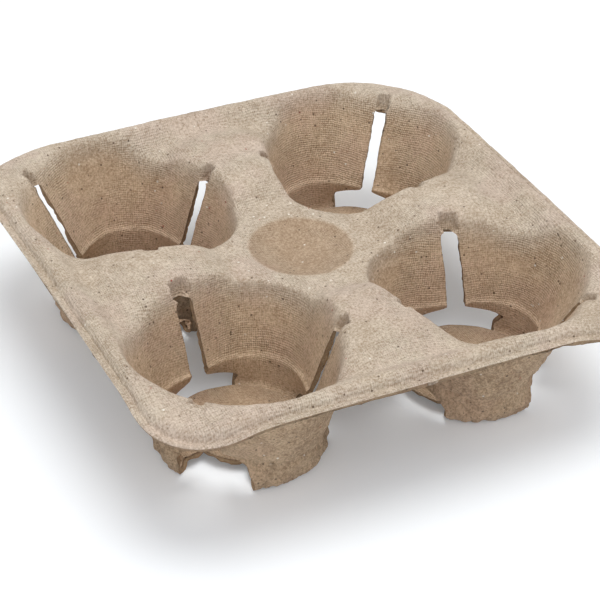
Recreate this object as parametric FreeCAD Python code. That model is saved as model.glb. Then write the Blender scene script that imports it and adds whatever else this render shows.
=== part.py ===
"""Moulded-fibre carrier for four cups: one thin pressed skin, open to the top.

The skin is the space under its upper face less the space under its lower face.
Both spaces come from one function, skin_space(depth), where depth is how far below
the upper face the wanted face lies. The slits and the cut-away foot walls come last.

Frame: millimetres, +Z up, origin on the ground at the carrier's middle. The four
wells stand on the diagonals, and the straight rims run along X and Y.
"""
import FreeCAD, Part
import math
import os

# Skin
wall = 2.2

# Rim: a rolled bead with a small level lip outside it. The bead's inner side slopes down
# to the deck, and its width is taken at the foot of that slope.
half_width = 108.0
rim_corner_radius = 30.0
bead_height = 55.5
bead_width = 14.3
bead_slope_run = 7.5
bead_round = 4.3
lip_below_bead = 3.5
lip_height = bead_height - lip_below_bead
lip_width = 3.2

# Corner flanges: the rim sags in a wide arc at each corner and leans outward
corner_sag = 5.5
corner_sag_half_length = 40.0
flange_tilt = 12.0
flange_inner_radius = 56.7

# Wells: place of the axis, and reach of the mouth from it at the slits and at the panels
well_inside_halfway = 3.0
well_from_middle = half_width / 2 - well_inside_halfway
mouth_below_bead = 1.5
mouth_height = bead_height - mouth_below_bead
mouth_to_rim = 10.0
mouth_at_rim_panel = half_width - mouth_to_rim - well_from_middle
corner_slit_reach = 0.4
mouth_at_corner_slit = mouth_at_rim_panel + corner_slit_reach
bridge_slit_to_middle = 13.0
mouth_at_bridge_slit = well_from_middle - bridge_slit_to_middle
middle_panel_to_middle = 6.0
mouth_at_middle_panel = well_from_middle - middle_panel_to_middle

# Deck between the wells, with its domed bridges and dished middle
deck_below_bead = 9.0
deck_height = bead_height - deck_below_bead
bridge_below_bead = 1.0
bridge_height = bead_height - bridge_below_bead
bridge_past_well = 11.0
bridge_from_middle = well_from_middle + bridge_past_well
bridge_dome_radius = 50.0
bridge_domes_apart = 10.0
dish_radius = 21.75
dish_depth = 3.5

# Wells: the step low on the wall, and how far the wall leans in there at the slits
step_height = 16.0
step_width = 1.5
step_at_panels = 35.5
step_at_slits = 28.0

# Feet: a round groove stands on the ground, round a raised floor
groove_radius = 33.0
groove_round = 2.0
floor_height = 5.0
floor_radius = 28.5
floor_slope = 1.0

# Slits in each well's wall, and the foot wall cut away below each slit
slit_width = 7.0
bridge_slit_turn = 120.0
bridge_slit_past_mouth = 1.5
corner_gap_half_angle = 28.0
corner_gap_height = 14.0
bridge_gap_half_angle = 38.0
bridge_gap_height = 13.0

# Room that a cutting solid takes past the faces it cuts
past = 5.0


def rounded_square(half, corner, low, high):
    """Upright block with a square plan of the given half width and round corners."""
    block = Part.makeBox(2 * half, 2 * half, high - low, FreeCAD.Vector(-half, -half, low))
    upright = [e for e in block.Edges if abs(e.tangentAt(e.FirstParameter).z) > 0.99]
    return block.makeFillet(corner, upright)


def edges_at(shape, height):
    """Edges of a shape that lie level at one height."""
    found = []
    for edge in shape.Edges:
        box = edge.BoundBox
        if abs(box.ZMin - height) < 1e-6 and abs(box.ZMax - height) < 1e-6:
            found.append(edge)
    return found


def around(shape, count):
    """Copies of a shape, turned in equal steps about the carrier's middle."""
    copies = []
    for k in range(count):
        turned = shape.copy()
        turned.rotate(FreeCAD.Vector(0, 0, 0), FreeCAD.Vector(0, 0, 1), 360.0 * k / count)
        copies.append(turned)
    return copies


def sag_tool(depth):
    """Four long tilted drums over the corners, whose undersides give the rim's sag there."""
    drum_radius = (corner_sag_half_length ** 2 + corner_sag ** 2) / (2 * corner_sag)
    bead_corner = rim_corner_radius - lip_width
    flange_end = (half_width - rim_corner_radius) * math.sqrt(2) + bead_corner
    tilt = math.radians(flange_tilt)
    lean_out = FreeCAD.Vector(math.cos(tilt) / math.sqrt(2), math.cos(tilt) / math.sqrt(2), -math.sin(tilt))
    upward = FreeCAD.Vector(math.sin(tilt) / math.sqrt(2), math.sin(tilt) / math.sqrt(2), math.cos(tilt))
    flange_edge = FreeCAD.Vector(flange_end / math.sqrt(2), flange_end / math.sqrt(2),
                                 bead_height - corner_sag)
    foot = flange_edge + upward * drum_radius - lean_out * corner_sag_half_length
    drum = Part.makeCylinder(drum_radius + depth, half_width, foot, lean_out)
    return around(drum, 4)


def deck_pocket(depth):
    """Room over the lower deck, inside the bead and the corner flanges.

    Its sides lean outward, and lie the given depth behind those of the upper face.
    """
    lean = bead_slope_run / (bead_height - deck_height)
    low = deck_height - depth
    high = bead_height + past
    behind = depth * math.sqrt(1 + lean ** 2) - depth * lean
    wires = []
    for height in (low, high):
        spread = behind + lean * (height - low)
        half = half_width - lip_width - bead_width + spread
        block = rounded_square(half, flange_inner_radius + spread, height, height + past)
        wires.append(Part.Wire(Part.sortEdges(edges_at(block, height))[0]))
    return Part.makeLoft(wires, True, True)


def bead_block(depth):
    """Raised rim and corner flanges round the lower deck, rounded along both top edges."""
    outer_half = half_width - lip_width - depth
    top = bead_height - depth
    block = rounded_square(outer_half, rim_corner_radius - lip_width - depth, 0, top)
    rim = block.cut(deck_pocket(depth))
    rim = rim.makeFillet(bead_round - depth, edges_at(rim, top))
    return rim.cut(sag_tool(depth))


def lip_block(depth, spread):
    """Level lip outside the bead, which sags at the corners with the rim."""
    top = lip_height - depth
    block = rounded_square(half_width + spread, rim_corner_radius + spread, 0, top)
    return block.cut(deck_pocket(depth)).cut(sag_tool(bead_height - lip_height + depth))


def bridges(depth):
    """Four low bridges between neighbouring wells, each made of the tops of two spheres."""
    inside_bead = half_width - lip_width - bead_width / 2
    kept = rounded_square(inside_bead, rim_corner_radius, deck_height - past, bead_height + past)
    balls = []
    for out in (0, bridge_domes_apart):
        centre = FreeCAD.Vector(bridge_from_middle + out, 0, bridge_height - bridge_dome_radius)
        balls.append(Part.makeSphere(bridge_dome_radius - depth, centre))
    return around(balls[0].fuse(balls[1]).common(kept), 4)


def dish(depth):
    """Shallow round dish in the middle of the deck, the cap of a large sphere."""
    cap_radius = (dish_radius ** 2 + dish_depth ** 2) / (2 * dish_depth)
    centre = FreeCAD.Vector(0, 0, deck_height - dish_depth + cap_radius)
    return Part.makeSphere(cap_radius + depth, centre)


def smooth_outline(height, radii):
    """Closed smooth outline round a well's axis at one height.

    The four radii are those at the corner slit, the rim panels, the bridge slits and the
    panel towards the middle. The outline is the same on both sides of the diagonal.
    """
    half_turn = bridge_slit_turn / 2
    turns = [0, half_turn, bridge_slit_turn, 180, 360 - bridge_slit_turn, 360 - half_turn]
    points = []
    for turn, radius in zip(turns, list(radii) + [radii[2], radii[1]]):
        angle = math.radians(45 + turn)
        points.append(FreeCAD.Vector(well_from_middle + radius * math.cos(angle),
                                     well_from_middle + radius * math.sin(angle), height))
    curve = Part.BSplineCurve()
    curve.interpolate(Points=points, PeriodicFlag=True)
    return Part.Wire([curve.toShape()])


def wall_outline(height, depth):
    """Outline of the leaning wall above the step. It is straight from step to mouth."""
    share = (height - step_height) / (mouth_height - step_height)
    steps = [step_at_slits, step_at_panels, step_at_slits, step_at_panels]
    mouths = [mouth_at_corner_slit, mouth_at_rim_panel, mouth_at_bridge_slit, mouth_at_middle_panel]
    radii = [step + (mouth - step) * share + depth for step, mouth in zip(steps, mouths)]
    return smooth_outline(height, radii)


def well(depth):
    """Space in one well: a leaning wall, a step, and a foot whose bottom edge is round."""
    top = bead_height + past
    step = step_height - depth
    bottom = wall - depth
    upper = Part.makeLoft([wall_outline(step, depth), wall_outline(top, depth)], True, True)
    inset = depth - step_width
    ring_top = [step_at_slits + inset, step_at_panels + inset] * 2
    ring_bottom = [groove_radius + depth] * 4
    ring = Part.makeLoft([smooth_outline(bottom, ring_bottom), smooth_outline(step, ring_top)],
                         True, True)
    ring = ring.makeFillet(groove_round + depth, edges_at(ring, bottom))
    return upper.fuse(ring)


def raised_floor(depth, spread):
    """Floor of one well, pressed up above the groove that stands on the ground."""
    foot = FreeCAD.Vector(well_from_middle, well_from_middle, -spread)
    rise = floor_height - depth + spread
    return Part.makeCone(floor_radius + floor_slope - depth, floor_radius - depth, rise, foot)


def skin_space(depth, spread):
    """Space under the face that lies the given depth below the carrier's upper face."""
    space = bead_block(depth).fuse([lip_block(depth, spread)] + bridges(depth))
    space = space.cut([dish(depth)] + around(well(depth), 4))
    return space.fuse(around(raised_floor(depth, spread), 4))


def slit(turn, reach):
    """Upright slit from a well's axis outward, with a round end, at a turn from the diagonal."""
    height = bead_height + past - floor_height
    run = reach - slit_width / 2
    box = Part.makeBox(run, slit_width, height, FreeCAD.Vector(0, -slit_width / 2, floor_height))
    end = Part.makeCylinder(slit_width / 2, height, FreeCAD.Vector(run, 0, floor_height))
    return placed(box.fuse(end), turn)


def foot_gap(turn, half_angle, height):
    """Sector of the foot wall below a slit, cut away from the edge of the floor outward."""
    reach = step_at_panels + 2 * past
    up = FreeCAD.Vector(0, 0, 1)
    sector = Part.makeCylinder(reach, height + past, FreeCAD.Vector(0, 0, -past), up, 2 * half_angle)
    sector.rotate(FreeCAD.Vector(0, 0, 0), up, -half_angle)
    kept = Part.makeCylinder(floor_radius, floor_height + past, FreeCAD.Vector(0, 0, -past))
    return placed(sector.cut(kept), turn)


def placed(tool, turn):
    """A cutting solid, turned from the outward diagonal and set on a well's axis."""
    tool.rotate(FreeCAD.Vector(0, 0, 0), FreeCAD.Vector(0, 0, 1), 45 + turn)
    tool.translate(FreeCAD.Vector(well_from_middle, well_from_middle, 0))
    return tool


def cup_carrier():
    """The whole carrier: the skin, then the slits and foot gaps of each well."""
    skin = skin_space(0, 0).cut(skin_space(wall, past))
    tools = [slit(0, mouth_at_corner_slit)]
    tools.append(foot_gap(0, corner_gap_half_angle, corner_gap_height))
    for turn in (-bridge_slit_turn, bridge_slit_turn):
        tools.append(slit(turn, mouth_at_bridge_slit + bridge_slit_past_mouth))
        tools.append(foot_gap(turn, bridge_gap_half_angle, bridge_gap_height))
    return skin.cut([copy for tool in tools for copy in around(tool, 4)])


os.makedirs("parts", exist_ok=True)
carrier = cup_carrier()
carrier.exportStep("parts/cup_carrier.step")
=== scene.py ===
"""Moulded-fibre carrier for four cups, dressed for looks.

The carrier is one pressed skin of paper pulp. It is drawn as four quarters that meet on
the centre lines, one round each cup well. A quarter is a grid of rays that leave the
well's axis: each ray runs over the raised floor, the groove, the step, the leaning wall
and the mouth, then over the deck to the centre line or to the rim. Sizes are in
millimetres until the meshes are made.
"""

import bpy
import math
import numpy as np
from mathutils import Matrix, Vector


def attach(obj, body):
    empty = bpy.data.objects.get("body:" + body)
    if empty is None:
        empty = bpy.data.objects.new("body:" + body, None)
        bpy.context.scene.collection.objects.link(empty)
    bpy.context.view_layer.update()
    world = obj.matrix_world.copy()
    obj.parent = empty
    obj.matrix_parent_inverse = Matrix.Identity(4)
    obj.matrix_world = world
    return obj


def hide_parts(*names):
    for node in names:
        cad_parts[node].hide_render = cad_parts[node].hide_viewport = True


MM = 0.001

# Sizes, in millimetres
WALL = 2.2

HALF_WIDTH = 108.0
RIM_CORNER_RADIUS = 30.0
LIP_WIDTH = 3.2
LIP_DROP = 3.5
BEAD_HEIGHT = 55.5
BEAD_CREST_IN = 7.9
RIM_GROOVE_DEPTH = 1.0
RIM_GROOVE_WIDTH = 0.8
LIP_EDGE_DROP = 0.7
LIP_EDGE_WIDTH = 1.3
DECK_EDGE_HALF = 95.8
DECK_EDGE_RADIUS = 62.0
FLANGE_TILT = math.radians(12.0)
SAG_HALF_LENGTH = 40.0

DECK_HEIGHT = 46.5
BRIDGE_HEIGHT = 54.6
BRIDGE_FROM_MIDDLE = 62.0
BRIDGE_INWARD = 27.5
BRIDGE_OUTWARD = 35.0
BRIDGE_HALF_WIDTH = 28.0
SHELF_HEIGHT = 47.6
SHELF_FROM = 66.0
SHELF_TO = 90.0
BEAD_FOOT_IN = 7.0
BEAD_TOP_OUT = 5.0
DISH_RADIUS = 21.75
DISH_DEPTH = 3.6

WELL_FROM_MIDDLE = 51.0
MOUTH_RADII = (47.4, 47.0, 38.0, 45.0)
MOUTH_HEIGHT = 54.0
STEP_RADII = (28.0, 35.5, 28.0, 35.5)
STEP_HEIGHT = 16.0
STEP_WIDTH = 1.6
GROOVE_RADIUS = 33.0
FLOOR_HEIGHT = 5.0
FLOOR_RADIUS = 28.3

GAP_HEIGHT = 14.0
MOUTH_FLARES = (3.6, 3.2, 2.2, 1.3)
SLIT_TOP_DROP = 7.0
SLIT_TOP_ROUND = 3.4
POCKET_DEPTH = 4.6

# Layers of lumps in the pulp on the upper face and on the outside: height, size and seed
TOP_LUMPS = ((0.16, 6.0, 31), (0.12, 2.6, 32), (0.07, 1.3, 33))
OUTSIDE_LUMPS = ((0.5, 5.0, 42), (0.5, 2.4, 43), (0.24, 1.3, 44))
FOOT_LUMPS = ((0.8, 3.2, 47),)
PIT_SIZE = 6.5
PIT_STEEPNESS = 5.0
PIT_PATCHES = 14.0
LOWEST_PIT = 1.2

# Grid of one quarter
PANEL_COLUMNS = 96
SLIT_COLUMNS = 18
COLUMNS = 3 * (PANEL_COLUMNS + SLIT_COLUMNS)
FLOOR_ROWS = 20
FOOT_ROWS = 26
STEP_ROWS = 6
WALL_ROWS = 42
MOUTH_ROWS = 18
DECK_ROWS = 40
HOLE_FROM = FLOOR_ROWS
HOLE_TO = FLOOR_ROWS + FOOT_ROWS + STEP_ROWS + WALL_ROWS
LAST_ROW = HOLE_TO + MOUTH_ROWS + DECK_ROWS

# The slit columns spread to this half angle at the quarter's edge, which sets one panel
# column on each outer corner of the quarter.
EDGE_SPREAD = math.radians(4.0273)

# Samples of the raw ray on each straight run from the floor to the brink, and on the deck
RUN_SAMPLES = (8, 40, 8, 8, 5, 34, 6, 90)
DECK_SAMPLES = 150

# What differs from quarter to quarter on the real one. Slits are listed corner first,
# then the one at +120 degrees (across the Y centre line), then the one at -120 degrees.
# "gap" is how far the foot wall is missing before and after the slit, in degrees, and up
# to what height. "torn" is how many rows of the floor are missing there.
QUARTERS = {
    "left_back": {"side": (-1, 1), "sag": 3.6, "width": (4.6, 5.6, 6.0), "lean": (3.0, -4.0, 0.0),
                  "gap": ((18, 26, 12.0), (16, 34, 9.0), (34, 34, 12.0)), "torn": (1, 0, 0)},
    "right_back": {"side": (1, 1), "sag": 5.0, "width": (5.2, 5.0, 6.5), "lean": (0.0, 0.0, 0.0),
                   "gap": ((28, 30, 14.0), (32, 36, 12.0), (36, 34, 13.0)), "torn": (0, 1, 0)},
    "right_front": {"side": (1, -1), "sag": 7.0, "width": (4.6, 6.0, 7.6), "lean": (0.0, 0.0, 6.0),
                    "gap": ((28, 26, 14.0), (34, 36, 12.0), (36, 38, 13.5)), "torn": (3, 0, 0)},
    "left_front": {"side": (-1, -1), "sag": 4.2, "width": (5.4, 6.0, 8.0), "lean": (0.0, 4.0, -4.0),
                   "gap": ((28, 28, 15.0), (12, 32, 9.0), (36, 13, 11.0)), "torn": (6, 0, 0)},
}


# Numbers and noise
def smooth_step(low, high, value):
    """0 below low, 1 above high, and 3t^2 - 2t^3 between."""
    t = np.clip((value - low) / (high - low), 0.0, 1.0)
    return t * t * (3.0 - 2.0 * t)


def soft_max(a, b, blend):
    """The larger of two heights, with the corner between them rounded over about blend."""
    return 0.5 * (a + b + np.sqrt((a - b) ** 2 + blend * blend))


def soft_min(a, b, blend):
    """The smaller of two heights, with the corner between them rounded over about blend."""
    return 0.5 * (a + b - np.sqrt((a - b) ** 2 + blend * blend))


def lattice_noise(points, size, seed):
    """Smooth noise from -1 to 1 in space, with lumps of about the given size.

    Each corner of a cubic lattice has a random value, and a point takes the mix of its
    cell's eight corners, weighted by 3t^2 - 2t^3 along each axis.
    """
    table = np.random.default_rng(seed).uniform(-1.0, 1.0, 8192)
    place = points / size + 1000.0
    cell = np.floor(place).astype(np.int64)
    part = place - cell
    part = part * part * (3.0 - 2.0 * part)
    total = np.zeros(points.shape[:-1])
    for corner in np.ndindex(2, 2, 2):
        at = cell + np.array(corner)
        key = (at[..., 0] * 7349 + at[..., 1] * 3163 + at[..., 2] * 5591) % 8191
        weight = np.prod(np.where(np.array(corner) == 1, part, 1.0 - part), axis=-1)
        total += table[key] * weight
    return total


def crumple(points, size, seed):
    """Creased noise from 0 to 1: one less the size of lattice noise, so it has sharp ridges."""
    return 1.0 - np.abs(lattice_noise(points, size, seed))


# Heights of the upper face
def rim_distance(x, y, half, radius):
    """Distance inward from the edge of a square with round corners, negative outside it."""
    over_x = np.abs(x) - (half - radius)
    over_y = np.abs(y) - (half - radius)
    outside = np.hypot(np.maximum(over_x, 0.0), np.maximum(over_y, 0.0))
    return radius - outside - np.minimum(np.maximum(over_x, over_y), 0.0)


def rim_top(x, y, sag):
    """Height of the rolled bead, which sags in an arc at the corner and leans outward.

    The sag is the underside of a large drum that lies tilted along the diagonal.
    """
    outward = (np.abs(x) + np.abs(y)) / math.sqrt(2)
    along = (np.abs(x) - np.abs(y)) / math.sqrt(2)
    corner = (HALF_WIDTH - RIM_CORNER_RADIUS) * math.sqrt(2) + RIM_CORNER_RADIUS - LIP_WIDTH
    drum = (SAG_HALF_LENGTH ** 2 + sag ** 2) / (2 * sag)
    arc = drum - np.sqrt(np.maximum(drum ** 2 - along ** 2, 0.0))
    leaning = BEAD_HEIGHT - sag + math.tan(FLANGE_TILT) * (corner - outward) + arc
    return soft_min(BEAD_HEIGHT, leaning, 1.6)


def bridge(across, along):
    """Height of a bridge between two wells: a pad with a full top and falling sides.

    The fall from the top is the sum of a power of the share of the way to each side.
    """
    lengthways = np.where(along < 0, (np.abs(along) / BRIDGE_INWARD) ** 3.4,
                          (np.abs(along) / BRIDGE_OUTWARD) ** 3.4)
    fall = lengthways + (np.abs(across) / BRIDGE_HALF_WIDTH) ** 2.6
    return BRIDGE_HEIGHT - (BRIDGE_HEIGHT - DECK_HEIGHT) * fall


def upper_height(x, y, sag):
    """Height of the upper face outside the wells: deck, bridges, dish, bead and lip.

    The deck is level, and a smooth step lifts it a little towards the rim. The bridges and
    it take the soft larger height, and the dish, a shallow bowl with a steeper edge, the
    soft smaller one. A smooth step leads up to the bead, which rounds over as a quarter of
    an ellipse, and a narrow groove parts it from the lip.
    """
    radius = np.hypot(x, y)
    deck = np.full_like(radius, DECK_HEIGHT)
    far = np.maximum(np.abs(x), np.abs(y))
    deck += (SHELF_HEIGHT - DECK_HEIGHT) * smooth_step(SHELF_FROM, SHELF_TO, far)
    deck = soft_max(deck, bridge(y, np.abs(x) - BRIDGE_FROM_MIDDLE), 1.2)
    deck = soft_max(deck, bridge(x, np.abs(y) - BRIDGE_FROM_MIDDLE), 1.2)
    cap = (DISH_RADIUS ** 2 + DISH_DEPTH ** 2) / (2 * DISH_DEPTH)
    dish = DECK_HEIGHT + 0.2 - DISH_DEPTH + radius ** 2 / (2 * cap)
    dish += 1.1 * smooth_step(DISH_RADIUS - 4.5, DISH_RADIUS + 0.5, radius) - 1.1
    deck = soft_min(deck, dish, 0.4)
    pocket = rim_distance(x, y, DECK_EDGE_HALF, DECK_EDGE_RADIUS)
    height = deck + (rim_top(x, y, sag) - deck) * smooth_step(BEAD_FOOT_IN, -BEAD_TOP_OUT, pocket)
    inward = rim_distance(x, y, HALF_WIDTH, RIM_CORNER_RADIUS)
    round_off = np.clip((BEAD_CREST_IN - inward) / (BEAD_CREST_IN - LIP_WIDTH), 0.0, 1.0)
    height -= LIP_DROP * (1.0 - np.sqrt(1.0 - 0.999 * round_off ** 2))
    height -= RIM_GROOVE_DEPTH * np.exp(-((inward - LIP_WIDTH + 0.3) / RIM_GROOVE_WIDTH) ** 2)
    height -= LIP_EDGE_DROP * np.clip(1.0 - inward / LIP_EDGE_WIDTH, 0.0, 1.0) ** 2
    return height


# One ray of a well
def round_well(radii, turn):
    """Even, smooth change of a radius round the well through its four given values.

    The values stand at 0, 60, 120 and 180 degrees from the outward diagonal, and the
    curve is the sum of a constant and of the cosines of one, two and three turns.
    """
    orders = np.arange(4)
    nodes = np.radians([0.0, 60.0, 120.0, 180.0])
    parts = np.linalg.solve(np.cos(np.outer(nodes, orders)), np.array(radii))
    return np.cos(turn[..., None] * orders) @ parts


def reach(turn):
    """Distance from a well's axis to the quarter's edge, and where that edge is the rim.

    The edge is the nearer of the two centre lines and of the rim's outline. The rim is
    found by halving the interval.
    """
    angle = turn + math.radians(45.0)
    cos, sin = np.cos(angle), np.sin(angle)
    to_x = np.where(cos < -1e-9, WELL_FROM_MIDDLE / np.maximum(-cos, 1e-9), 1e9)
    to_y = np.where(sin < -1e-9, WELL_FROM_MIDDLE / np.maximum(-sin, 1e-9), 1e9)
    low, high = np.zeros_like(turn), np.full_like(turn, 120.0)
    for _ in range(40):
        middle = (low + high) / 2
        inside = rim_distance(WELL_FROM_MIDDLE + middle * cos, WELL_FROM_MIDDLE + middle * sin,
                              HALF_WIDTH, RIM_CORNER_RADIUS) > 0
        low, high = np.where(inside, middle, low), np.where(inside, high, middle)
    lines = np.minimum(to_x, to_y)
    return np.minimum(lines, low), low < lines


def rays(turn, sag):
    """Distance from the axis and height along every ray, one row for each grid row.

    The raw ray is a chain of straight runs and of the deck's own heights. It is then
    smoothed along its length, lightly on the foot and the step and more at the mouth,
    as a felted skin rounds the edges of its mould.
    """
    angle = turn + math.radians(45.0)
    cos, sin = np.cos(angle)[:, None], np.sin(angle)[:, None]
    step = round_well(STEP_RADII, turn)[:, None]
    mouth = round_well(MOUTH_RADII, turn)[:, None]
    edge, at_rim = reach(turn)
    edge = edge[:, None]

    def deck_at(r):
        """Height of the upper face at a distance from the well's axis."""
        return upper_height(WELL_FROM_MIDDLE + r * cos, WELL_FROM_MIDDLE + r * sin, sag)

    slope = (mouth - step) / (MOUTH_HEIGHT - STEP_HEIGHT)
    top = deck_at(mouth)
    for _ in range(12):
        top = 0.5 * top + 0.5 * deck_at(step + slope * (top - STEP_HEIGHT))
    brink = step + slope * (top - STEP_HEIGHT)

    def line(r0, z0, r1, z1, count):
        """Even steps along a straight run, from its first point up to just before its last."""
        t = np.linspace(0.0, 1.0, count, endpoint=False)[None, :]
        one = np.ones_like(turn)[:, None]
        return (r0 + (r1 - r0) * t) * one, (z0 + (z1 - z0) * t) * one

    knots = [(-6.0, FLOOR_HEIGHT), (0.0, FLOOR_HEIGHT + 0.4), (FLOOR_RADIUS, FLOOR_HEIGHT),
             (FLOOR_RADIUS + 1.2, WALL), (GROOVE_RADIUS - 1.0, WALL), (GROOVE_RADIUS + 0.1, WALL + 1.4),
             (step - STEP_WIDTH, STEP_HEIGHT), (step, STEP_HEIGHT + 0.5), (brink, top)]
    runs = [line(*first, *second, count) for first, second, count in zip(knots, knots[1:], RUN_SAMPLES)]
    outer = brink + (edge + 9.0 - brink) * np.linspace(0.0, 1.0, DECK_SAMPLES)[None, :]
    runs.append((outer, deck_at(outer)))
    r = np.concatenate([part[0] for part in runs], axis=1)
    z = np.concatenate([part[1] for part in runs], axis=1)
    lengths = np.hypot(np.diff(r, axis=1), np.diff(z, axis=1))
    s = np.concatenate([np.zeros((len(turn), 1)), np.cumsum(lengths, axis=1)], axis=1)

    marks = np.cumsum((0,) + RUN_SAMPLES)
    floor_from, floor_to = s[:, marks[1]], s[:, marks[2]]
    foot_top = s[:, marks[6]] - (STEP_HEIGHT - GAP_HEIGHT)
    step_top = s[:, marks[7]]
    brink_at = s[:, marks[8]]
    share = (edge[:, 0] - outer[:, 0]) / (outer[:, -1] - outer[:, 0])
    last = marks[8] + share * (DECK_SAMPLES - 1)
    low = np.floor(last).astype(int)
    rows = np.arange(len(turn))
    end = s[rows, low] + (last - low) * (s[rows, np.minimum(low + 1, s.shape[1] - 1)] - s[rows, low])
    hole_end = brink_at - SLIT_TOP_DROP
    past_mouth = np.minimum(brink_at + 6.0, brink_at + 0.45 * (end - brink_at))

    def spaced(a, b, count, power=1.0):
        """Steps from a to b, whose share of the way is a power of their even share."""
        t = np.linspace(0.0, 1.0, count, endpoint=False) ** power
        return a[:, None] + (b - a)[:, None] * t[None, :]

    pieces = [
        spaced(floor_from, floor_to, FLOOR_ROWS),
        spaced(floor_to, foot_top, FOOT_ROWS),
        spaced(foot_top, step_top, STEP_ROWS),
        spaced(step_top, hole_end, WALL_ROWS),
        spaced(hole_end, past_mouth, MOUTH_ROWS),
        spaced(past_mouth, end, DECK_ROWS, 0.85),
        end[:, None],
    ]
    out = np.concatenate(pieces, axis=1)
    widest = round_well(MOUTH_FLARES, turn)[:, None]
    wide = 0.75 + (widest - 0.75) * np.exp(-((out - brink_at[:, None]) / 11.0) ** 2)
    wide += 0.9 * smooth_step(step_top[:, None] + 3.0, step_top[:, None] + 9.0, out) \
        * smooth_step(brink_at[:, None] - 2.0, brink_at[:, None] - 9.0, out)
    to_end = end[:, None] - out
    wide = np.where(at_rim[:, None], np.minimum(wide, 0.35 + 0.14 * np.maximum(to_end, 0.0)), wide)
    step_length = np.gradient(s, axis=1)
    r_out, z_out = np.empty_like(out), np.empty_like(out)
    for j in range(out.shape[1]):
        gap = (s - out[:, j:j + 1]) / wide[:, j:j + 1]
        weight = np.exp(-0.5 * gap * gap) * step_length
        weight /= weight.sum(axis=1, keepdims=True)
        r_out[:, j] = (weight * r).sum(axis=1)
        z_out[:, j] = (weight * z).sum(axis=1)
    r_out[:, 0] = 0.0
    r_out[:, -1] = edge[:, 0]
    return r_out, z_out, out - floor_from[:, None], brink_at - floor_from


# One quarter of the carrier
def slit_edges(name, spec, table_turn, radius, height, along, brink):
    """Turn of both edges of the three slits at every grid row.

    Under the step the edges stand wide apart, where the foot wall is missing. They close
    in at the lower ends of the wall panels, run up side by side, and round off at the
    slit's top. Noise along the row makes the edges ragged, more so at the foot.
    """
    rows = np.arange(LAST_ROW + 1)
    edges = []
    middles = np.radians([0.0, 120.0, -120.0])
    for k, (middle, width, lean) in enumerate(zip(middles, spec["width"], spec["lean"])):
        column = int(round(middle / (2 * math.pi) * len(table_turn))) % len(table_turn)
        r, z = np.maximum(radius[column], 1.0), height[column]
        s, at_mouth = along[column], brink[column]
        before, after, gap_height = spec["gap"][k]
        half = np.full(len(rows), width / 2.0)
        above = s - (at_mouth - SLIT_TOP_DROP)
        rounding = np.clip(1 + above / SLIT_TOP_ROUND, 0, 1)
        half = np.where(above < 0, width / 2 * (0.62 + 0.38 * np.sqrt(1 - rounding ** 2)), half)
        half = np.where(above >= 0, width / 2 * (0.62 + 0.5 * smooth_step(0.0, 1.5, above)), half)
        spread = half / r
        spread = np.where(above > 12.0,
                          spread + (EDGE_SPREAD - spread) * smooth_step(12.0, 24.0, above), spread)
        spread[-1] = EDGE_SPREAD
        closing = smooth_step(gap_height + 1.0, gap_height - 4.0, z)
        closing = np.where(rows < HOLE_FROM + 3, 1.0, closing)
        closing = np.where(rows > HOLE_FROM + FOOT_ROWS + STEP_ROWS, 0.0, closing)
        lower = 1.0 - smooth_step(15.0, 50.0, z)
        centre = middle + np.radians(lean) * lower * smooth_step(4.0, 12.0, z)
        line = np.stack([rows * 0.9, np.full(len(rows), 7.0 * k), np.zeros(len(rows))], axis=-1)
        inside = (rows >= HOLE_FROM) & (rows <= HOLE_TO)
        both = []
        for side, seed, gap in ((-1, 11, math.radians(before)), (1, 23, math.radians(after))):
            key = seed + 100 * k + 1000 * list(QUARTERS).index(name)
            rough = 0.13 * lattice_noise(line, 1.7, key) + 0.22 * lattice_noise(line, 8.0, key + 1)
            torn = rough * (1.0 + 4.0 * closing) + 1.8 * closing * lattice_noise(line, 7.0, key + 2)
            open_by = spread + (gap - spread) * closing + np.where(inside, torn, 0.0) / r
            both.append(centre + side * np.maximum(open_by, 0.3 / r))
        edges.append(both)
    return edges


def grid_turns(edges):
    """Turn of every grid column at every row: slit bands, with even panels between them."""
    turns = []
    whole = 2 * math.pi
    panels = ((0, 0.0, 1, 0.0), (1, 0.0, 2, whole), (2, whole, 0, whole))
    for first, first_turn, second, second_turn in panels:
        left, right = edges[first][0] + first_turn, edges[first][1] + first_turn
        after = edges[second][0] + second_turn
        across = np.arange(SLIT_COLUMNS) / SLIT_COLUMNS
        turns.append(left[None, :] + (right - left)[None, :] * across[:, None])
        across = np.arange(PANEL_COLUMNS) / PANEL_COLUMNS
        turns.append(right[None, :] + (after - right)[None, :] * across[:, None])
    return np.concatenate(turns, axis=0)


def looked_up(table, turn):
    """Values of a table of rays at any turn, mixed between the two nearest rays."""
    count = table.shape[0]
    place = (turn / (2 * math.pi) * count) % count
    low = np.floor(place).astype(int) % count
    part = place - np.floor(place)
    rows = np.arange(turn.shape[1])[None, :]
    return table[low, rows] * (1 - part) + table[(low + 1) % count, rows] * part


def grid_normals(points):
    """Unit normals of a grid that closes on itself in its first direction."""
    along = np.roll(points, -1, axis=0) - np.roll(points, 1, axis=0)
    out = np.gradient(points, axis=1)
    normal = np.cross(out, along)
    normal[:, 0] = normal[:, 1].mean(axis=0)
    return normal / np.maximum(np.linalg.norm(normal, axis=-1, keepdims=True), 1e-12)


def smoothed(points, rounds):
    """A grid with its middle rows eased towards the mean of their four neighbours."""
    eased = points.copy()
    for _ in range(rounds):
        mean = (np.roll(eased, 1, axis=0) + np.roll(eased, -1, axis=0)) / 4
        mean[:, 1:-1] += (eased[:, 2:] + eased[:, :-2]) / 4
        eased[:, 1:-1] = mean[:, 1:-1]
    return eased


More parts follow.
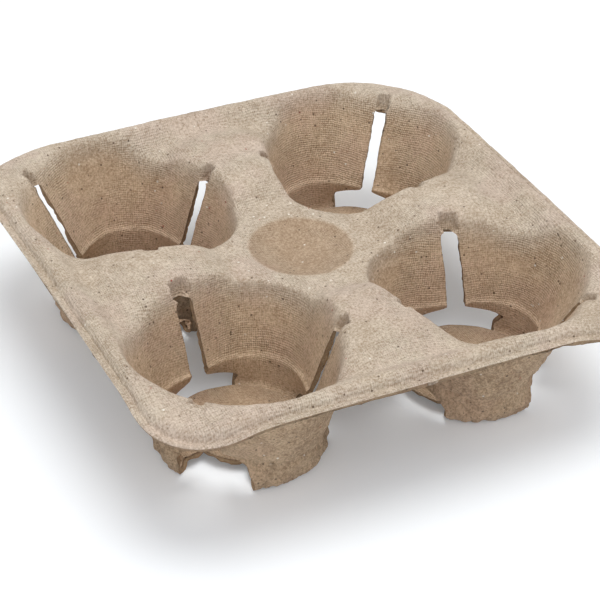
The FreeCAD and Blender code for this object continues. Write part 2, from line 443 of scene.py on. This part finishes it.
def quarter_grid(name, spec):
    """Upper and lower face of one quarter in the carrier's frame, with its pattern values."""
    count = 720
    table_turn = np.arange(count) * 2 * math.pi / count
    radius, height, along, brink = rays(table_turn, spec["sag"])
    edges = slit_edges(name, spec, table_turn, radius, height, along, brink)
    turn = grid_turns(edges)
    r, z = looked_up(radius, turn), looked_up(height, turn)
    s = looked_up(along, turn)
    mouth_s = looked_up(np.repeat(brink[:, None], LAST_ROW + 1, axis=1), turn)
    r[:, -1] = reach(turn[:, -1])[0]
    angle = turn + math.radians(45.0)
    x = WELL_FROM_MIDDLE + r * np.cos(angle)
    y = WELL_FROM_MIDDLE + r * np.sin(angle)
    x[:, -1] = np.where(np.abs(x[:, -1]) < 1e-3, 0.0, x[:, -1])
    y[:, -1] = np.where(np.abs(y[:, -1]) < 1e-3, 0.0, y[:, -1])
    side = np.array([spec["side"][0], spec["side"][1], 1.0])
    upper = np.stack([x, y, z], axis=-1) * side

    band = np.zeros(COLUMNS)
    for k in range(3):
        start = k * (PANEL_COLUMNS + SLIT_COLUMNS)
        across = np.arange(SLIT_COLUMNS + 1) / SLIT_COLUMNS * 2 - 1
        band[start:start + SLIT_COLUMNS + 1] = smooth_step(0.0, 0.38, 1.0 - np.abs(across))
    above = s - (mouth_s - SLIT_TOP_DROP)
    pocket = POCKET_DEPTH * band[:, None] * smooth_step(-3.0, 0.0, above) * smooth_step(10.4, 9.2, above)
    facing = grid_normals(upper) * spec["side"][0] * spec["side"][1]
    upper = upper - facing * pocket[..., None]
    sunk = smooth_step(1.5, -14.0, s - mouth_s)
    wall_share = smooth_step(1.5, -5.0, s - mouth_s) * smooth_step(FLOOR_RADIUS, FLOOR_RADIUS + 6.0, s)
    from_middle = np.hypot(x, y)
    # pressed marks the wells and the dish; the material gives the wells a browner tint, partly the pulp's
    # own and partly painted warm bounce light, and a painted lift of light
    pressed = np.maximum(sunk, 0.85 * smooth_step(DISH_RADIUS + 0.8, DISH_RADIUS - 1.5, from_middle))
    return upper, s, turn, wall_share, pressed


def layered_noise(points, layers):
    """Sum of noises, each of its own height, size and seed."""
    return sum(height * lattice_noise(points, size, seed) for height, size, seed in layers)


def dressed(upper, spec):
    """Upper face with its felted lumps, and the rough lower face one wall below it.

    Broad noise bends the whole skin. The upper face is then moved along its normals by its
    layers of lumps. The lower one lies an uneven wall under a smoothed copy of the bent
    skin, and is moved outward by its own lumps less its pits.
    """
    turned = spec["side"][0] * spec["side"][1]
    bend = np.stack([lattice_noise(upper, 70.0, 3), lattice_noise(upper, 70.0, 4),
                     lattice_noise(upper, 60.0, 5)], axis=-1)
    quiet = smooth_step(0.0, 14.0, upper[..., 2])[..., None]
    bent = upper + bend * np.array([0.45, 0.45, 0.6]) * quiet
    base = smoothed(bent, 6)
    facing = grid_normals(base) * turned
    lumps = layered_noise(bent, TOP_LUMPS)
    top = bent + grid_normals(bent) * turned * lumps[..., None]
    thick = WALL + 0.25 * lattice_noise(bent, 8.0, 41)
    below = base - facing * thick[..., None]
    rough = layered_noise(below, OUTSIDE_LUMPS)
    pits = np.clip(crumple(below, PIT_SIZE, 45) - 0.86, 0.0, 1.0) * PIT_STEEPNESS
    rough -= pits * smooth_step(-0.1, 0.2, lattice_noise(below, PIT_PATCHES, 46))
    rough += layered_noise(below, FOOT_LUMPS) * smooth_step(11.0, 3.0, upper[..., 2])
    below = below - facing * np.maximum(rough, -LOWEST_PIT)[..., None]
    below[..., 2] = soft_max(below[..., 2], 0.05, 0.15)
    return top, below


def seam_pairs(grids):
    """Each two quarters that meet on a centre line, with the columns that end on it."""
    for axis in (0, 1):
        for grid in grids.values():
            side = list(grid["spec"]["side"])
            if side[axis] > 0:
                side[axis] *= -1
                other = next(g for g in grids.values() if list(g["spec"]["side"]) == side)
                yield grid, other, np.abs(grid["plan"][:, -1, axis]) < 1e-6


def joined(grids):
    """Quarters with their shared centre-line points set to one place."""
    middle = PANEL_COLUMNS + SLIT_COLUMNS + SLIT_COLUMNS + PANEL_COLUMNS // 2
    for kind in ("top", "below"):
        for grid, other, on in seam_pairs(grids):
            mean = (grid[kind][on, -1] + other[kind][on, -1]) / 2
            grid[kind][on, -1] = mean
            other[kind][on, -1] = mean
        mean = sum(grid[kind][middle, -1] for grid in grids.values()) / 4
        for grid in grids.values():
            grid[kind][middle, -1] = mean
    return grids


def shared_normals(grids):
    """Normals of every quarter's faces, the same on both sides of each centre line."""
    for kind, sign in (("top", 1), ("below", -1)):
        label = kind + "_normal"
        for grid in grids.values():
            turned = grid["spec"]["side"][0] * grid["spec"]["side"][1]
            grid[label] = grid_normals(grid[kind]) * turned * sign
        for grid, other, on in seam_pairs(grids):
            mean = grid[label][on, -1] + other[label][on, -1]
            mean /= np.linalg.norm(mean, axis=-1, keepdims=True)
            grid[label][on, -1] = mean
            other[label][on, -1] = mean
    return grids


def quads_between(first, second):
    """Quads between two lists of points of equal length."""
    return np.stack([first[:-1], first[1:], second[1:], second[:-1]], axis=-1)


def quarter_mesh(grid):
    """Closed mesh of one quarter: both faces, the torn edges of its holes, its rim and seams."""
    top, below = grid["top"], grid["below"]
    columns, rows = COLUMNS, LAST_ROW + 1
    top_id = np.arange(columns * rows).reshape(columns, rows)
    below_id = top_id + columns * rows
    face_rows = np.arange(LAST_ROW)
    in_hole = np.zeros((columns, LAST_ROW), bool)
    for k in range(3):
        start = k * (PANEL_COLUMNS + SLIT_COLUMNS)
        hole_rows = (face_rows >= HOLE_FROM - grid["spec"]["torn"][k]) & (face_rows < HOLE_TO)
        in_hole[start:start + SLIT_COLUMNS, hole_rows] = True

    def sheet(ids, reverse):
        """Quads between each grid column and its neighbour, left out where there are holes."""
        after = np.roll(ids, -1, axis=0)
        quads = np.stack([ids[:, :-1], ids[:, 1:], after[:, 1:], after[:, :-1]], axis=-1)
        quads = quads[~in_hole]
        return quads[:, ::-1] if reverse else quads

    turned = grid["spec"]["side"][0] * grid["spec"]["side"][1] < 0
    faces = [sheet(top_id, turned), sheet(below_id, not turned)]
    kinds = [np.zeros(len(faces[0]), int), np.ones(len(faces[1]), int)]
    points = [top.reshape(-1, 3), below.reshape(-1, 3)]
    count = 2 * columns * rows

    def edge_strip(loop, bulge, seed, kind, closed, outward):
        """Two bands of quads from the upper face to the lower one, along a line of points.

        They meet in a middle line, pushed outward by a bulge that noise makes uneven.
        """
        nonlocal count
        up, down = top.reshape(-1, 3)[loop], below.reshape(-1, 3)[loop]
        middle = (up + down) / 2
        push = np.cross(np.roll(up, -1, axis=0) - np.roll(up, 1, axis=0), up - down)
        if not closed:
            push[0], push[-1] = push[1], push[-2]
        push /= np.maximum(np.linalg.norm(push, axis=-1, keepdims=True), 1e-9)
        frayed = 0.9 * lattice_noise(middle, 1.6, seed) + 0.5 * lattice_noise(middle, 4.0, seed + 1)
        fuzz = bulge * (0.75 + frayed)
        middle = middle + push * outward * fuzz[:, None]
        middle[:, 2] = np.maximum(middle[:, 2], 0.0)
        points.append(middle)
        middle_id = np.arange(count, count + len(loop))
        count += len(loop)
        below_loop = loop + columns * rows
        if closed:
            loop = np.append(loop, loop[0])
            below_loop = np.append(below_loop, below_loop[0])
            middle_id = np.append(middle_id, middle_id[0])
        for first, second in ((loop, middle_id), (middle_id, below_loop)):
            quads = quads_between(first, second)
            if outward < 0:
                quads = quads[:, ::-1]
            faces.append(quads)
            kinds.append(np.full(len(quads), kind))

    facing = -1 if turned else 1
    for k in range(3):
        start = k * (PANEL_COLUMNS + SLIT_COLUMNS)
        across = (np.arange(start, start + SLIT_COLUMNS + 1)) % columns
        first_row = HOLE_FROM - grid["spec"]["torn"][k]
        up = np.arange(first_row, HOLE_TO + 1)
        loop = np.concatenate([top_id[across[:-1], first_row], top_id[across[-1], up[:-1]],
                               top_id[across[::-1][:-1], HOLE_TO], top_id[across[0], up[::-1][:-1]]])
        edge_strip(loop, 0.35, 61 + k, 2, True, facing)

    on_rim = reach(grid["turn"][:, -1])[1]
    plan = grid["plan"][:, -1]
    rim_point = on_rim | (plan[:, :2].max(axis=1) > HALF_WIDTH - 1e-4)
    order = np.arange(columns)
    shift = int(np.argmax(~rim_point & np.roll(rim_point, -1))) + 1
    order = np.roll(order, -shift)
    rim = order[rim_point[order]]
    seam = np.concatenate([[rim[-1]], order[~rim_point[order]], [rim[0]]])
    edge_strip(top_id[rim, -1], 0.5, 71, 3, False, -facing)
    quads = quads_between(top_id[seam, -1], below_id[seam, -1])
    if facing > 0:
        quads = quads[:, ::-1]
    faces.append(quads)
    kinds.append(np.full(len(quads), 4))

    points = np.concatenate(points) * MM
    faces = np.concatenate(faces)
    kinds = np.concatenate(kinds)
    return points, faces, kinds


def make_piece(name, grid, materials):
    """One quarter as a Blender object with smooth faces, materials and pattern values."""
    points, faces, kinds = quarter_mesh(grid)
    mesh = bpy.data.meshes.new(name)
    mesh.from_pydata(points.tolist(), [], faces.tolist())
    mesh.validate()
    for material in materials:
        mesh.materials.append(material)
    if len(mesh.polygons) != len(faces):
        raise ValueError("faces were lost in " + name)
    slots = np.array([0, 1, 2, 2, 1])[kinds]
    mesh.polygons.foreach_set("material_index", slots)
    mesh.polygons.foreach_set("use_smooth", np.ones(len(faces), bool))
    vertex_of = np.empty(len(mesh.loops), np.int64)
    mesh.loops.foreach_get("vertex_index", vertex_of)
    grid_size = COLUMNS * (LAST_ROW + 1)

    across = np.unwrap(grid["turn"], axis=0) * 40.0
    screen = np.zeros((len(points), 2))
    screen[:grid_size] = np.stack([across, grid["s"]], axis=-1).reshape(-1, 2)
    screen[grid_size:2 * grid_size] = screen[:grid_size]
    layer = mesh.uv_layers.new(name="screen")
    layer.data.foreach_set("uv", (screen[vertex_of] * MM).ravel())

    def point_value(label, values):
        """Attribute with one value for a grid point on both faces, and 0 on the edges."""
        full = np.zeros(len(points))
        full[:grid_size] = values.ravel()
        full[grid_size:2 * grid_size] = values.ravel()
        attribute = mesh.attributes.new(label, "FLOAT", "POINT")
        attribute.data.foreach_set("value", full)

    point_value("in_well", grid["pressed"])
    point_value("on_wall", grid["wall_share"])

    normals = np.empty((len(mesh.loops), 3))
    mesh.corner_normals.foreach_get("vector", normals.reshape(-1))
    kind_of = np.repeat(kinds, 4)
    row_of = vertex_of % grid_size % (LAST_ROW + 1)
    for kind, label in ((0, "top_normal"), (1, "below_normal")):
        flat = grid[label].reshape(-1, 3)
        on = (kind_of == kind) & (row_of == LAST_ROW) & (grid["seam_row"][(vertex_of % grid_size)])
        normals[on] = flat[vertex_of[on] % grid_size]
    mesh.normals_split_custom_set([tuple(v) for v in normals])
    mesh.update()
    piece = bpy.data.objects.new(name, mesh)
    bpy.context.scene.collection.objects.link(piece)
    return piece


# Materials
def linear(code):
    """Linear colour of an sRGB hex value."""
    parts = [int(code[i:i + 2], 16) / 255.0 for i in (0, 2, 4)]
    return [p / 12.92 if p <= 0.04045 else ((p + 0.055) / 1.055) ** 2.4 for p in parts] + [1.0]


def add(tree, kind, inputs=None, out=None, **settings):
    """Adds one node with its settings, and sets or links its inputs.

    It gives back the node, or its output where out names one.
    """
    node = tree.nodes.new(kind)
    for key, value in settings.items():
        setattr(node, key, value)
    for key, value in (inputs or {}).items():
        if isinstance(value, bpy.types.NodeSocket):
            tree.links.new(value, node.inputs[key])
        else:
            node.inputs[key].default_value = value
    return node if out is None else node.outputs[out]


def new_material(name):
    """Empty node material with its output and a principled shader."""
    material = bpy.data.materials.new(name)
    material.use_nodes = True
    tree = material.node_tree
    tree.nodes.clear()
    shader = add(tree, "ShaderNodeBsdfPrincipled")
    output = add(tree, "ShaderNodeOutputMaterial")
    tree.links.new(shader.outputs["BSDF"], output.inputs["Surface"])
    return material, tree, shader


# Patterns in the pulp: size in millimetres, detail, roughness and distortion
PULP_NOISE = {
    "wobble": (9.0, 2.0, 0.5, 0.0),
    "patch": (26.0, 2.0, 0.5, 0.0),
    "cloud": (28.0, 3.0, 0.5, 0.0),
    "blotch": (5.0, 4.0, 0.65, 0.0),
    "grain": (1.0, 3.0, 0.75, 0.0),
    "rosy": (30.0, 3.0, 0.5, 0.0),
    "fuzz": (0.9, 5.0, 0.75, 0.6),
    "lump": (3.2, 4.0, 0.6, 0.0),
}
WEAVE_PITCH = {"X": 0.85, "Y": 1.0}
WEAVE_SHAKE = 2.4
FLECK_SPACING = 2.2
DUST_SPACING = 1.1
FLOOR_GLOW = 0.1


def weave(tree, place, wall, wobble):
    """Print of the mould's wire screen, from -1 to 1.

    It is half the sum of a sine along each of two directions. On a well's wall these run
    round and up the wall, and elsewhere along X and Y. Noise shakes the threads.
    """
    screen = add(tree, "ShaderNodeUVMap", out="UV", uv_map="screen")
    shaken = add(tree, "ShaderNodeVectorMath", {0: wobble, "Scale": WEAVE_SHAKE * MM}, 0, operation="SCALE")
    prints = []
    for start in (screen, place):
        where = add(tree, "ShaderNodeVectorMath", {0: start, 1: shaken}, 0)
        part = add(tree, "ShaderNodeSeparateXYZ", {"Vector": where})
        total = 0.0
        for axis, pitch in WEAVE_PITCH.items():
            turns = {0: part.outputs[axis], 1: 2 * math.pi / (pitch * MM)}
            turns = add(tree, "ShaderNodeMath", turns, 0, operation="MULTIPLY")
            wave = add(tree, "ShaderNodeMath", {0: turns}, 0, operation="SINE")
            total = add(tree, "ShaderNodeMath", {0: wave, 1: 0.5, 2: total}, 0, operation="MULTIPLY_ADD")
        prints.append(total)
    return add(tree, "ShaderNodeMix", {0: wall, 2: prints[1], 3: prints[0]}, 0, data_type="FLOAT")


def flecked(tree, colour, cells, near, kinds):
    """Colour with flecks in some of a Voronoi pattern's cells.

    Each kind of fleck has the channel of the cell's random colour that picks its cells,
    the value from which it is picked, how soft that limit is, and its own colour.
    """
    chance = add(tree, "ShaderNodeSeparateColor", {"Color": cells.outputs["Color"]})
    for channel, low, soft, tint in kinds:
        rare = {"Value": chance.outputs[channel], "From Min": low, "From Max": low + soft}
        rare = add(tree, "ShaderNodeMapRange", rare, "Result", interpolation_type="SMOOTHSTEP")
        spot = add(tree, "ShaderNodeMath", {0: near, 1: rare}, 0, operation="MULTIPLY")
        colour = add(tree, "ShaderNodeMix", {0: spot, 6: colour, 7: linear(tint)}, 2, data_type="RGBA")
    return colour


def pulp_material(name, light, dark, speck, flecks, weave_hollow_shade, weave_depth, fuzz_depth, lump_depth):
    """Recycled paper pulp: clouded colour, dark and coloured flecks, and a felted relief.

    Clouds of 28 mm and blotches of 5 mm shift the tan, 1 mm grains break it up, and flecks
    of 0.6 to 0.9 mm are bits of printed paper. The mould's wire screen, with threads
    0.85 and 1 mm apart, is drawn as a fine relief, and its hollows get painted shade in
    the tone. Real threads are nearer 0.6 mm, which would not show.
    """
    material, tree, shader = new_material(name)
    place = add(tree, "ShaderNodeTexCoord", out="Object")
    pressed = add(tree, "ShaderNodeAttribute", out="Fac", attribute_name="in_well")
    wall = add(tree, "ShaderNodeAttribute", out="Fac", attribute_name="on_wall")
    noise = {}
    for key, (size, detail, roughness, distortion) in PULP_NOISE.items():
        inputs = {"Vector": place, "Scale": 1 / (size * MM), "Detail": detail,
                  "Roughness": roughness, "Distortion": distortion}
        noise[key] = add(tree, "ShaderNodeTexNoise", inputs, "Color" if key == "wobble" else "Fac")

    ribs = weave(tree, place, wall, noise["wobble"])
    patches = {"Value": noise["patch"], "From Min": 0.3, "From Max": 0.58}
    patches = add(tree, "ShaderNodeMapRange", patches, "Result", interpolation_type="SMOOTHSTEP")
    firmness = add(tree, "ShaderNodeMath", {0: pressed, 1: 0.2, 2: 0.6}, 0, operation="MULTIPLY_ADD")
    for factor in (patches, firmness):
        ribs = add(tree, "ShaderNodeMath", {0: ribs, 1: factor}, 0, operation="MULTIPLY")

    # Tone: clouds, blotches and grain are the pulp's own colour; the weave's share is painted shade in its
    # hollows
    tone = 0.0
    # The share of pressed is a painted lift of light on the wells' walls
    for value, weight in ((noise["cloud"], 0.24), (noise["blotch"], 0.2), (noise["grain"], 0.6),
                          (ribs, weave_hollow_shade), (pressed, 0.02)):
        tone = add(tree, "ShaderNodeMath", {0: value, 1: weight, 2: tone}, 0, operation="MULTIPLY_ADD")
    shade = {"Value": tone, "From Min": 0.35, "From Max": 0.69}
    shade = add(tree, "ShaderNodeMapRange", shade, "Result", interpolation_type="SMOOTHSTEP")
    colour = add(tree, "ShaderNodeMix", {0: shade, 6: linear(dark), 7: linear(light)}, 2, data_type="RGBA")

    rosy = {"Value": noise["rosy"], "From Min": 0.46, "From Max": 0.62, "To Max": 0.5}
    rosy = add(tree, "ShaderNodeMapRange", rosy, "Result", interpolation_type="SMOOTHSTEP")
    off_wall = add(tree, "ShaderNodeMath", {0: pressed, 1: wall}, 0, operation="SUBTRACT")
    in_dish = {"Value": off_wall, "From Min": 0.1, "From Max": 0.9}
    in_dish = add(tree, "ShaderNodeMapRange", in_dish, "Result", interpolation_type="SMOOTHSTEP")
    # Rosy patches are the pulp's own; the wells' tint fff2e3 is partly the pulp's browner tone and partly
    # painted warm bounce light; the dish and the wells' floors are made greyer and darker
    for factor, tint in ((rosy, "f7eef2"), (pressed, "fff2e3"), (in_dish, "e2dfdd")):
        colour = add(tree, "ShaderNodeMix", {0: factor, 6: colour, 7: linear(tint)}, 2,
                     data_type="RGBA", blend_type="MULTIPLY")

    cells = add(tree, "ShaderNodeTexVoronoi", {"Vector": place, "Scale": 1 / (FLECK_SPACING * MM)})
    near = {"Value": cells.outputs["Distance"], "From Min": 0.27, "From Max": 0.15, "To Max": flecks}
    near = add(tree, "ShaderNodeMapRange", near, "Result", interpolation_type="SMOOTHSTEP")
    kinds = (("Red", 0.9, 0.012, speck), ("Green", 0.988, 0.012, "9c2f26"), ("Blue", 0.972, 0.012, "f4efe6"))
    colour = flecked(tree, colour, cells, near, kinds)
    cells = add(tree, "ShaderNodeTexVoronoi", {"Vector": place, "Scale": 1 / (DUST_SPACING * MM)})
    near = {"Value": cells.outputs["Distance"], "From Min": 0.34, "From Max": 0.2, "To Max": 0.4}
    near = add(tree, "ShaderNodeMapRange", near, "Result", interpolation_type="SMOOTHSTEP")
    colour = flecked(tree, colour, cells, near, (("Red", 0.8, 0.06, speck),))
    tree.links.new(colour, shader.inputs["Base Color"])
    shader.inputs["Roughness"].default_value = 0.93
    shader.inputs["Specular IOR Level"].default_value = 0.25
    shader.inputs["Sheen Weight"].default_value = 0.06

    height = 0.0
    for value, depth in ((ribs, weave_depth), (noise["fuzz"], fuzz_depth), (noise["lump"], lump_depth)):
        height = add(tree, "ShaderNodeMath", {0: value, 1: depth, 2: height}, 0, operation="MULTIPLY_ADD")
    bump = add(tree, "ShaderNodeBump", {"Height": height, "Distance": MM, "Strength": 1.0}, "Normal")
    tree.links.new(bump, shader.inputs["Normal"])
    return material


def seen_rays(tree):
    """1 for rays that show a surface to the camera, straight, mirrored or through glass."""
    path = add(tree, "ShaderNodeLightPath")
    seen = path.outputs["Is Camera Ray"]
    for label in ("Is Glossy Ray", "Is Transmission Ray"):
        seen = add(tree, "ShaderNodeMath", {0: seen, 1: path.outputs[label]}, 0, operation="MAXIMUM")
    return seen


def floor_material():
    """White table paint: it stays white in view and keeps the carrier's shadow."""
    material, tree, shader = new_material("white_table_paint")
    shader.inputs["Base Color"].default_value = linear("eef2f7")
    shader.inputs["Roughness"].default_value = 0.95
    shader.inputs["Specular IOR Level"].default_value = 0.0
    power = add(tree, "ShaderNodeMath", {0: seen_rays(tree), 1: FLOOR_GLOW}, 0, operation="MULTIPLY")
    glow = add(tree, "ShaderNodeEmission", {"Color": linear("ffffff"), "Strength": power}, 0)
    both = add(tree, "ShaderNodeAddShader", {0: shader.outputs["BSDF"], 1: glow}, 0)
    output = next(n for n in tree.nodes if n.type == "OUTPUT_MATERIAL")
    tree.links.new(both, output.inputs["Surface"])
    return material


# Floor, light and camera
FLOOR_HALF_WIDTH = 6.0
SURROUND_LIGHT = 0.6
# Each lamp: the direction it shines from, its spread in degrees, its strength and colour
LAMPS = {
    "key": ((0.16, 0.14, 1.0), 42.0, 1.5, "fffefa"),
    "front": ((-0.45, -0.95, 1.0), 60.0, 0.65, "fdfdff"),
}
# The camera's turn round the carrier, its height angle and its roll, in degrees
CAMERA_TURNS = (-28.28, 34.78, 2.43)
CAMERA_DISTANCE = 0.8534
CAMERA_TARGET = (-0.01168, -0.02281, 0.037)
FOCAL_LENGTH = 127.86
SENSOR_WIDTH = 36.0


def make_floor():
    """Large level floor just under the feet."""
    half = FLOOR_HALF_WIDTH
    mesh = bpy.data.meshes.new("floor")
    corners = [(-half, -half, 0), (half, -half, 0), (half, half, 0), (-half, half, 0)]
    mesh.from_pydata(corners, [], [(0, 1, 2, 3)])
    mesh.materials.append(floor_material())
    floor = bpy.data.objects.new("floor", mesh)
    bpy.context.scene.collection.objects.link(floor)


def sun_lamp(name, place, spread, strength, tint):
    """Even light from far away in the direction of place, softened over a wide disc of sky."""
    lamp = bpy.data.lights.new(name, "SUN")
    lamp.angle = math.radians(spread)
    lamp.energy = strength
    lamp.color = linear(tint)[:3]
    item = bpy.data.objects.new(name, lamp)
    item.location = place
    item.rotation_mode = "QUATERNION"
    item.rotation_quaternion = (-Vector(place)).to_track_quat("-Z", "Y")
    bpy.context.scene.collection.objects.link(item)


def make_light():
    """Soft light from nearly overhead, a weaker one from the front, and a white surround."""
    world = bpy.data.worlds.new("surround")
    bpy.context.scene.world = world
    world.use_nodes = True
    tree = world.node_tree
    tree.nodes.clear()
    power = {0: seen_rays(tree), 1: 1.0 - SURROUND_LIGHT, 2: SURROUND_LIGHT}
    power = add(tree, "ShaderNodeMath", power, 0, operation="MULTIPLY_ADD")
    back = add(tree, "ShaderNodeBackground", {"Color": linear("ffffff"), "Strength": power})
    output = add(tree, "ShaderNodeOutputWorld")
    tree.links.new(back.outputs[0], output.inputs["Surface"])
    for name, settings in LAMPS.items():
        sun_lamp(name, *settings)


def make_camera():
    """Camera at the photographed angle: right and up are turned a little about the view."""
    azimuth, elevation, roll = [math.radians(turn) for turn in CAMERA_TURNS]
    back = Vector((math.sin(azimuth) * math.cos(elevation), -math.cos(azimuth) * math.cos(elevation),
                   math.sin(elevation)))
    right = Vector((math.cos(azimuth), math.sin(azimuth), 0.0))
    up = back.cross(right)
    right, up = (right * math.cos(roll) + up * math.sin(roll), up * math.cos(roll) - right * math.sin(roll))
    camera = bpy.data.cameras.new("camera")
    camera.lens = FOCAL_LENGTH
    camera.sensor_width = SENSOR_WIDTH
    camera.clip_end = 50.0
    item = bpy.data.objects.new("camera", camera)
    turn = Matrix((right, up, back)).transposed()
    item.matrix_world = Matrix.Translation(Vector(CAMERA_TARGET) + back * CAMERA_DISTANCE) @ turn.to_4x4()
    bpy.context.scene.collection.objects.link(item)
    bpy.context.scene.camera = item


# The scene
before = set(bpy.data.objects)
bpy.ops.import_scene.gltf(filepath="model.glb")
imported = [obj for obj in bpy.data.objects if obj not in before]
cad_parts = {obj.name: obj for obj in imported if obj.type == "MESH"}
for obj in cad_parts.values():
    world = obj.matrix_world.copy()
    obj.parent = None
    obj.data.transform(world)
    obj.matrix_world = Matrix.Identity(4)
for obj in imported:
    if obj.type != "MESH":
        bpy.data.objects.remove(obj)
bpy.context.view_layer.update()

scene = bpy.context.scene
scene.view_settings.view_transform = "Standard"
make_camera()

grids = {}
for quarter, spec in QUARTERS.items():
    upper, s, turn, wall_share, pressed = quarter_grid(quarter, spec)
    top, below = dressed(upper, spec)
    plan = upper * np.array([spec["side"][0], spec["side"][1], 1.0])
    seam_row = np.zeros(upper.shape[:2], bool)
    seam_row[:, -1] = np.minimum(np.abs(plan[:, -1, 0]), np.abs(plan[:, -1, 1])) < 1e-6
    grids[quarter] = {
        "spec": spec, "top": top, "below": below, "plan": plan, "turn": turn, "s": s,
        "wall_share": wall_share, "pressed": pressed, "seam_row": seam_row.ravel(),
    }
grids = shared_normals(joined(grids))

# Pressed on the wire mould: the smoother face, with the weave of the screen in relief and painted shade in
# its hollows
screen_side = pulp_material(
    "paper_pulp_screen_side", light="dfd2c1", dark="a38f79", speck="5e4c3b", flecks=0.85,
    weave_hollow_shade=0.09, weave_depth=0.3, fuzz_depth=0.38, lump_depth=0.34)
# Dried free of the mould: a lumpy, pitted and darker face
felt_side = pulp_material(
    "paper_pulp_felt_side", light="dccbb5", dark="8a7560", speck="58473a", flecks=0.8,
    weave_hollow_shade=0.0, weave_depth=0.0, fuzz_depth=0.8, lump_depth=1.4)
# Broken pulp: matt brown fibres without any weave
torn_edge = pulp_material(
    "paper_pulp_torn_edge", light="b39a7b", dark="866c52", speck="4a3a2c", flecks=0.7,
    weave_hollow_shade=0.0, weave_depth=0.0, fuzz_depth=0.5, lump_depth=0.4)

for quarter, grid in grids.items():
    piece = make_piece("carrier_" + quarter, grid, [screen_side, felt_side, torn_edge])
    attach(piece, "root")
    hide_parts("cup_carrier")

make_floor()
make_light()
